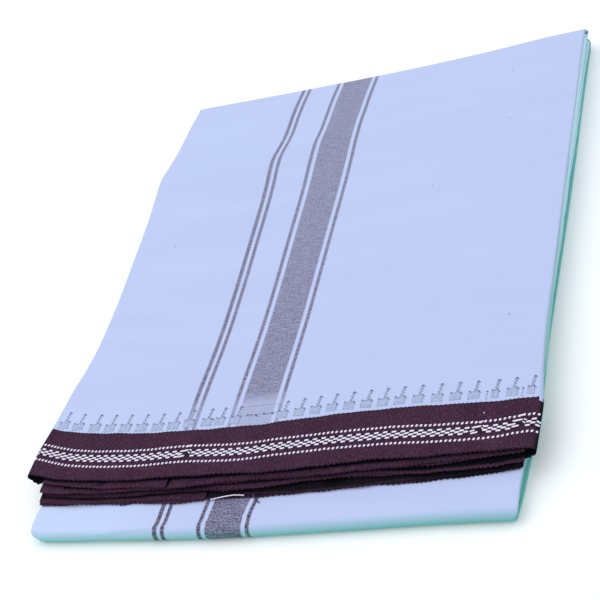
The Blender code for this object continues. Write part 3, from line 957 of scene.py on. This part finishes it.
BORDER_DEPTH = 27.0
BORDER_ENDS = (-131.0, 129.0)  # X where the cloth turns into the loops
LOOP_RADIUS = 2.15
LOOP_RETURN = 6.8
LOOP_SAG = 0.45  # share of the sag at the end of the loop's turn
LOOP_DROOP = 1.1  # how far the returning cloth sags
LOOP_REACH = 1.5  # and how far its front edge stands forward
SCALLOP_PITCH = 2.14
BORDER_ROWS = 34
BORDER_OVERLAP = 0.3
EDGE_POWER = 12  # how fast the teeth of the edges die out inwards
CREASE_AT = (-41.2, -117.6)  # the middle of a fine crease from front to back
CREASE_FRONT = -121.0  # where it starts
CREASE_RISE = 0.22
CREASE_WIDTH = 0.35
CREASE_SLANT = 0.2
LOOP_SHADE = {"left": 1.1, "right": 0.35}  # angle where a loop's shade starts
LOOP_SHADE_FADE = 0.8


def border_point(unrolled, v):
    """A point of the top border: its place along the cloth as if the end loops were
    flat, and the share v from the front edge to the scalloped one."""
    nominal = BORDER_BACK_Y + (v - 1) * BORDER_DEPTH
    left = along(TOP_SIDES, "left", nominal) + LOOP_RADIUS
    right = along(TOP_SIDES, "right", nominal) - LOOP_RADIUS
    flat = np.clip(unrolled, left, right)
    beyond = unrolled - flat
    angle = np.clip(np.abs(beyond) / LOOP_RADIUS, 0.0, pi)
    after = np.maximum(np.abs(beyond) - pi * LOOP_RADIUS, 0.0)
    sag = np.sin(pi * unit(0.15 + 0.8 * after / LOOP_RETURN)) * (after > 0)
    sag = sag + unit(angle / pi) * LOOP_SAG * (after == 0)
    x = flat + np.sign(beyond) * (LOOP_RADIUS * np.sin(angle) - after)
    tooth = np.abs(np.sin(pi * unrolled / SCALLOP_PITCH + 0.5 * np.sin(unrolled / 3.7)))
    scallop = 0.45 * tooth + 0.15 * wander(unrolled * 2.6, 7.0)
    front = along(BORDER, "top", x)
    back = along(BORDER, "upper", x) + BORDER_OVERLAP
    y = front + v * (back - front) - LOOP_REACH * sag * (1 - v)
    y = y + scallop * v ** EDGE_POWER + ragged(x, 2.0) * (1 - v) ** EDGE_POWER
    from_crease = x - CREASE_AT[0] - CREASE_SLANT * (y - CREASE_AT[1])
    fine = CREASE_RISE * np.exp(-(from_crease / CREASE_WIDTH) ** 2) * (y > CREASE_FRONT)
    z = top_height(x, y) + (pucker(x, y) + fine) * np.cos(angle / 2)
    z = z - LOOP_RADIUS * (1 - np.cos(angle)) - LOOP_DROOP * sag
    return side_by_side(x, y, z), angle


# Y of the upper dotted row of the border's figures, and of the chain in front of it,
# under whose floats the ground is painted darker, as painted shade
DOTTED_ROW = table(
    ("x", "y"),
    (-131, -112.6),
    (-125, -114.2),
    (-109, -118.8),
    (-95, -120.9),
    (-68, -122.6),
    (-42, -122.2),
    (-16, -123.5),
    (9, -122.1),
    (35, -121),
    (60, -120.7),
    (86, -121.6),
    (112, -121.2),
    (123, -119.7),
    (131, -119.6),
)
CHAIN_MIDDLE = 4.5
CHAIN_HALF = 2.1

loop_length = pi * LOOP_RADIUS
places_across = np.concatenate([
    np.linspace(BORDER_ENDS[0] - loop_length - LOOP_RETURN, BORDER_ENDS[0], 30),
    np.arange(BORDER_ENDS[0] + 0.4, BORDER_ENDS[1], 0.36),
    np.linspace(BORDER_ENDS[1] + 0.2, BORDER_ENDS[1] + loop_length + LOOP_RETURN, 30),
])
border_points, border_threads = [], []
for v in np.linspace(0.0, 1.0, BORDER_ROWS):
    row, angle = border_point(places_across, v)
    # painted shade on the loops as they turn away
    start = np.where(places_across < 0, LOOP_SHADE["left"], LOOP_SHADE["right"])
    painted_shade = unit((angle - start) / LOOP_SHADE_FADE)
    # painted shade: dark lines along the scalloped edge and the front edge
    edge = 0.55 * (v > 0.97) + 0.35 * (v < 0.01)
    # painted shade on the ground under the chain's floats
    behind_chain = row[:, 1] - along(DOTTED_ROW, "y", row[:, 0]) + CHAIN_MIDDLE
    edge = edge + 0.5 * (np.abs(behind_chain) < CHAIN_HALF)
    border_points.append(row)
    border_threads.append(side_by_side(places_across, 28 * v, np.maximum(painted_shade, edge)))
top_border = cloth_piece("top_border", [(np.array(border_points), np.array(border_threads))],
                         BORDER_THICKNESS, maroon)
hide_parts("border_top")

# ---------------------------------------------------------------------------
# Woven figures of the border
# Floats of thick white yarn on the maroon: a row of dots on each side of a chain, in
# which four rows of short slanting floats leave dark eyes between them.

# Soft-spun bleached yarn: whiter than the cloth around it, and matt
float_yarn, yarn_tree, yarn_shader = material("bleached_float_yarn")
yarn_twist = node(yarn_tree, "TexNoise", {"Scale": 2500.0, "Detail": 2.0})
yarn_bump = node(yarn_tree, "Bump", {"Height": yarn_twist, "Distance": 0.00005})
yarn_shade = node(yarn_tree, "Mix", {0: yarn_twist, 6: colour("#CDC4DE"), 7: colour("#F6EEFA")},
                  data_type="RGBA")
feed(yarn_shader, {"Base Color": yarn_shade, "Normal": yarn_bump, "Roughness": 0.8,
                   "Specular IOR Level": 0.25})

DOT_PITCH = 2.14
DOT_COUNT = 122
FIRST_DOT = -130.4
LOWER_DOTS = -9.5  # of the second dotted row, from the first
CHAIN_ROWS = (
    # from the first dotted row, phase in dots
    (-2.85, 0.0),
    (-4.08, 0.90),
    (-4.95, -0.17),
    (-6.08, 0.71),
)
SLIPS = (-40.9, 103.8, 122.0)  # where a pick slipped and some floats run long
SLIP_DIP = 0.75
SLIP_REACH = 5.0
SLIP_GAP = (-5.6, 1.0)  # the chain's own floats are missing here
SLIP_FLOATS = (
    # place from the slip, length, width, slant, lean
    (-2.6, -2.9, 4.6, 0.95, 0.7, 0.1),
    (-4.4, -4.9, 2.3, 0.9, 0.6, 0.1),
    (-3.4, -6.1, 3.4, 0.95, 0.6, 0.1),
    (0.8, -2.7, 1.5, 0.7, -0.7, 0.1),
    (0.3, -4.2, 1.5, 0.7, -1.1, 0.1),
    (-0.9, -0.15, 2.2, 1.0, 0.5, 0.3),
)
DOT_SHAPE = (1.15, 1.28, 0.05, 0.30)  # length, width, slant, lean
CHAIN_SHAPE = (2.36, 1.03, 0.14, 0.15)
NEARBY = 0.4  # slopes are measured this far to each side
PAD_RINGS = ((1.0, -0.06, 0.0), (0.97, 0.0, 0.6), (0.66, 0.0, 1.0))  # size, height, share of the rise
PAD_SQUARE = 0.45  # the power that makes a pad's outline a rounded rectangle


def surface_of_border(x, y):
    """Places on the top border, and the directions across and back there."""
    front = along(BORDER, "top", x)
    back = along(BORDER, "upper", x) + BORDER_OVERLAP
    v = (y - front) / (back - front)
    here = border_point(x, v)[0]
    across = border_point(x + 0.3, v)[0] - border_point(x - 0.3, v)[0]
    back_way = border_point(x, v + 0.02)[0] - border_point(x, v - 0.02)[0]
    return here, across, back_way


def surface_of_top(x, y):
    """Places on the top panel, and the directions across and back there."""
    def height(a, b):
        return top_height(a, b) + pucker(a, b) - tucked(a, b)
    across = side_by_side(2 * NEARBY, 0, height(x + NEARBY, y) - height(x - NEARBY, y))
    back_way = side_by_side(0, 2 * NEARBY, height(x, y + NEARBY) - height(x, y - NEARBY))
    return side_by_side(x, y, height(x, y)), across, back_way


def yarn_pads(name, pads, surface, finish, sides=8, rise=0.20):
    """Small rounded pads of yarn, joined in one piece.  A pad has a place, a length, a
    width, how far its right end is higher, and how far its back edge leans right."""
    pads = np.array(pads)
    here, across, back_way = surface(pads[:, 0], pads[:, 1])
    across = across / np.linalg.norm(across, axis=1)[:, None]
    out = np.cross(across, back_way)
    out = out / np.linalg.norm(out, axis=1)[:, None]
    back_way = np.cross(out, across)
    points, faces = [], []
    for place, east, north, up, pad in zip(here, across, back_way, out, pads):
        length, width, slant, lean = pad[2:]
        first = len(points)
        for scale, low, share in PAD_RINGS:
            for i in range(sides):
                a = 2 * pi * (i + 0.5) / sides
                e = np.sign(cos(a)) * abs(cos(a)) ** PAD_SQUARE * length / 2 * scale
                n = np.sign(sin(a)) * abs(sin(a)) ** PAD_SQUARE * width / 2 * scale
                points.append(place + east * (e + lean * n / width) + north * (n + slant * e / length)
                              + up * (low + share * rise))
        for ring in (0, 1):
            for i in range(sides):
                a = first + ring * sides + i
                b = first + ring * sides + (i + 1) % sides
                faces.append((a, b, b + sides, a + sides))
        faces.append(tuple(first + 2 * sides + i for i in range(sides)))
        faces.append(tuple(first + i for i in reversed(range(sides))))
    piece = mesh_object(name, points, faces, finish)
    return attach(piece, "root")


def slip_dip(x):
    """How far the figures dip just before each slipped pick."""
    before = [np.where(x < s, np.exp(-(s - x) / SLIP_REACH), 0.0) for s in SLIPS]
    return SLIP_DIP * np.maximum.reduce(before)


chance = np.random.default_rng(11)
dots = []
for k in range(DOT_COUNT):
    x = FIRST_DOT + k * DOT_PITCH
    row_y = along(DOTTED_ROW, "y", x)
    jitter = chance.normal(0.0, 0.05, 4)
    dots.append((x + jitter[0], row_y - 0.5 * slip_dip(x) + jitter[1], *DOT_SHAPE))
    dots.append((x + jitter[2], row_y + LOWER_DOTS + jitter[3], *DOT_SHAPE))
chain = []
for row, (offset, phase) in enumerate(CHAIN_ROWS):
    for k in range(DOT_COUNT // 2):
        x = FIRST_DOT + 0.4 + (2 * k + phase) * DOT_PITCH
        nearest = min(SLIPS, key=lambda s: abs(x - s))
        if SLIP_GAP[0] < x - nearest < SLIP_GAP[1]:
            continue
        y = along(DOTTED_ROW, "y", x) + offset - slip_dip(x)
        chain.append((x + chance.normal(0.0, 0.06), y, *CHAIN_SHAPE))
for slip in SLIPS:
    y = along(DOTTED_ROW, "y", slip)
    chain += [(slip + to_right, y + back, *shape) for to_right, back, *shape in SLIP_FLOATS]
yarn_pads("border_dots", dots, surface_of_border, float_yarn)
yarn_pads("border_chain", chain, surface_of_border, float_yarn)
yarn_pads("border_white_speck", [(103.6, -116.7, 0.6, 0.6, 0.0, 0.0)], surface_of_border, float_yarn,
          6, 0.1)

# ---------------------------------------------------------------------------
# Temple row
# A row of small temple figures behind the border, woven with dark picks: a hatched
# base with a horn at each corner, and a slender spire that leans a little.

# Fine dyed yarn between white ones, which hatches the figures in grey, drawn 1 mm apart
HATCH_PITCH = 1.0
hatched, hatch_tree, hatch_shader = material("hatched_dark_picks")
hatch_places = node(hatch_tree, "Attribute", attribute_name="threads").outputs["Vector"]
hatch_turn = node(hatch_tree, "Mapping", {"Vector": hatch_places, "Rotation": (0, 0, 0.75)})
hatch_split = node(hatch_tree, "SeparateXYZ", {"Vector": hatch_turn})
hatch_phase = node(hatch_tree, "Math", {0: hatch_split.outputs["X"], 1: 2 * pi / HATCH_PITCH},
                   operation="MULTIPLY")
hatch_wave = node(hatch_tree, "Math", {0: hatch_phase}, operation="SINE")
hatch_noise = node(hatch_tree, "TexNoise", {"Vector": hatch_places, "Scale": 0.9, "Detail": 2.0})
hatch_mixed = node(hatch_tree, "Math", {0: hatch_wave, 1: 0.22, 2: hatch_noise}, operation="MULTIPLY_ADD")
hatch_share = node(hatch_tree, "MapRange", {"Value": hatch_mixed, "From Min": 0.25, "From Max": 0.80})
hatch_colour = node(hatch_tree, "Mix", {0: hatch_share, 6: colour("#B4C1E2"), 7: colour("#8288A4")},
                    data_type="RGBA")
feed(hatch_shader, {"Base Color": hatch_colour, "Roughness": 0.88, "Specular IOR Level": 0.2})

# The same dyed yarn, doubled where the outline turns
dark_pick, _, dark_shader = material("doubled_dark_pick")
feed(dark_shader, {"Base Color": colour("#494A66"), "Roughness": 0.85, "Specular IOR Level": 0.2})

TEMPLE_HEIGHT = 4.6
SPIRE_HEIGHT = 5.4
SPIRE_WIDTH = 1.6
SPIRE_LEAN = 0.8
TEMPLES = (
    -123.2, -113.9, -103.6, -94.5, -85.1, -75.9, -66.6, -57.7, -49.0, -39.2, -32.0,
    -23.6, -15.2, -6.8, 1.0, 9.4, 17.6, 25.9, 34.4, 42.9, 51.1, 59.4, 68.2, 77.3,
    86.1, 94.7, 105.4, 112.4, 121.9,
)
NARROW_TEMPLES = (105.4, 121.9)
WIDTHS = {"narrow": 3.6, "left": 6.5, "right": 5.5}
GAPS = {"left": 1.7, "right": 2.5}  # from the border's edge to the figures' feet
LEFT_TO = -50.0  # X where the wider, nearer figures at the left end
SPIRE_PLACE = 0.60  # share of the base's width
STRAY_SPIRES = (-33.4, 103.3, 119.7)  # half figures left by the repeat
BAND = (-20.0, -1.0)  # over the wide band only the outlines show

PATCH_POINTS = 6
PATCH_LIFT = 0.05

patches, outlines = [], []


def patch(x, y, width, height, lean, seed):
    """A small woven patch just proud of the top panel."""
    steps = np.linspace(0.0, 1.0, PATCH_POINTS)
    across, back = np.meshgrid(steps, steps)
    px = x + across * width + back * lean
    py = y + back * height
    here = surface_of_top(px.ravel(), py.ravel())[0] + (0.0, 0.0, PATCH_LIFT)
    threads = side_by_side((px - x).ravel() + seed * 7.0, (py - y).ravel(), 0)
    shape = (PATCH_POINTS, PATCH_POINTS, 3)
    return here.reshape(shape), threads.reshape(shape)


for number, start in enumerate(TEMPLES):
    part = "left" if start < LEFT_TO else "right"
    width = WIDTHS["narrow" if start in NARROW_TEMPLES else part]
    foot = float(along(BORDER, "upper", start + width / 2)) + GAPS[part]
    top = foot + TEMPLE_HEIGHT
    spire = start + SPIRE_PLACE * width
    over_band = BAND[0] < spire < BAND[1]
    if not over_band:
        spire_left = spire - SPIRE_WIDTH / 2
        patches.append(patch(start, foot, width, TEMPLE_HEIGHT, 0.0, number))
        patches.append(patch(spire_left, top + 0.2, SPIRE_WIDTH, SPIRE_HEIGHT, SPIRE_LEAN, number))
    outlines += [
        (start + 0.5, top + 0.1, 1.0, 0.85, 0.0, 0.2),
        (start + 1.6, top - 0.5, 0.6, 0.5, 0.0, 0.0),
        (start + 0.45 * width, top - 0.2, 0.6, 0.5, 0.0, 0.0),
        (start + width - 0.6, top - 0.1, 1.1, 0.9, -0.3, 0.0),
        (start + width + 0.2, top - 0.9, 0.6, 0.6, -0.3, 0.0),
    ]
    cap = spire + SPIRE_LEAN
    if over_band:
        for k in range(6):
            foot_y = top + chance.normal(0.0, 0.2)
            outlines.append((start + 1.35 * k, foot_y, 0.65, 0.55, 0.0, 0.0))
            tip_y = top + SPIRE_HEIGHT + chance.normal(0.2, 0.2)
            outlines.append((start + 1.4 * k, tip_y, 0.5, 0.45, 0.0, 0.0))
        continue
    outlines.append((cap, top + SPIRE_HEIGHT + 0.4, 1.2, 1.0, 0.0, 0.1))
    outlines.append((cap + 0.9, top + SPIRE_HEIGHT - 0.1, 0.6, 0.5, 0.2, 0.0))
    for row in range(6):
        side = -0.3 if row % 2 else 0.3
        outlines.append((spire + side + SPIRE_LEAN * row / 6, top + 0.5 + 0.9 * row, 0.85, 0.55, -0.4, 0.0))
for number, start in enumerate(STRAY_SPIRES):
    foot = float(along(BORDER, "upper", start)) + GAPS["left"]
    patches.append(patch(start - 0.4, foot, 0.9, 4.4, 0.3, number))
    outlines.append((start + 0.3, foot + 4.8, 0.9, 0.8, 0.0, 0.0))
temples = cloth_piece("temple_row", patches, 0.06, hatched)
yarn_pads("temple_row_outlines", outlines, surface_of_top, dark_pick, 6, 0.06)

# ---------------------------------------------------------------------------
# Loose ends
# Short ends of warp yarn at the raw edge under the fan, and a few dark specks of seed
# caught in the white weave.

SPECKS = ((89.0, 135.0), (92.1, 91.6), (54.9, 45.0), (-92.8, 24.4), (108.1, -56.6))
yarn_pads("seed_specks", [(x, y, 0.75, 0.6, 0.0, 0.0) for x, y in SPECKS], surface_of_top, dark_pick,
          6, 0.05)

LOOSE_ENDS = (
    # name, finish, half thickness, points
    ("loose_white_end", float_yarn, 0.26,
     ((-25.8, -149.8, 9.0), (-20.7, -149.3, 9.6), (-15.3, -148.7, 9.8), (-12.3, -148.5, 9.7),
      (-8.6, -148.8, 9.3))),
    ("loose_curled_end", dark_pick, 0.30,
     ((-4.8, -146.9, 8.7), (-4.0, -148.8, 9), (-3.1, -150.5, 8.7), (-1.5, -152.0, 8.45),
      (-0.2, -152.7, 8.45))),
    ("loose_short_end", dark_pick, 0.24,
     ((-74.6, -149.4, 8.3), (-71.5, -149.5, 8.35), (-68.0, -148.6, 8.4))),
)
for name, finish, half, points in LOOSE_ENDS:
    curve = bpy.data.curves.new(name, "CURVE")
    curve.dimensions = "3D"
    curve.bevel_depth = half * MM
    curve.bevel_resolution = 2
    curve.use_fill_caps = True
    curve.materials.append(finish)
    spline = curve.splines.new("NURBS")
    spline.points.add(len(points) - 1)
    for spot, place in zip(spline.points, points):
        at = (np.array(place) - (*OUTLINE_MIDDLE, 0.0)) * MM
        spot.co = (*at, 1.0)
    spline.order_u = 3
    spline.use_endpoint_u = True
    end = add_object(name, curve)
    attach(end, "root")
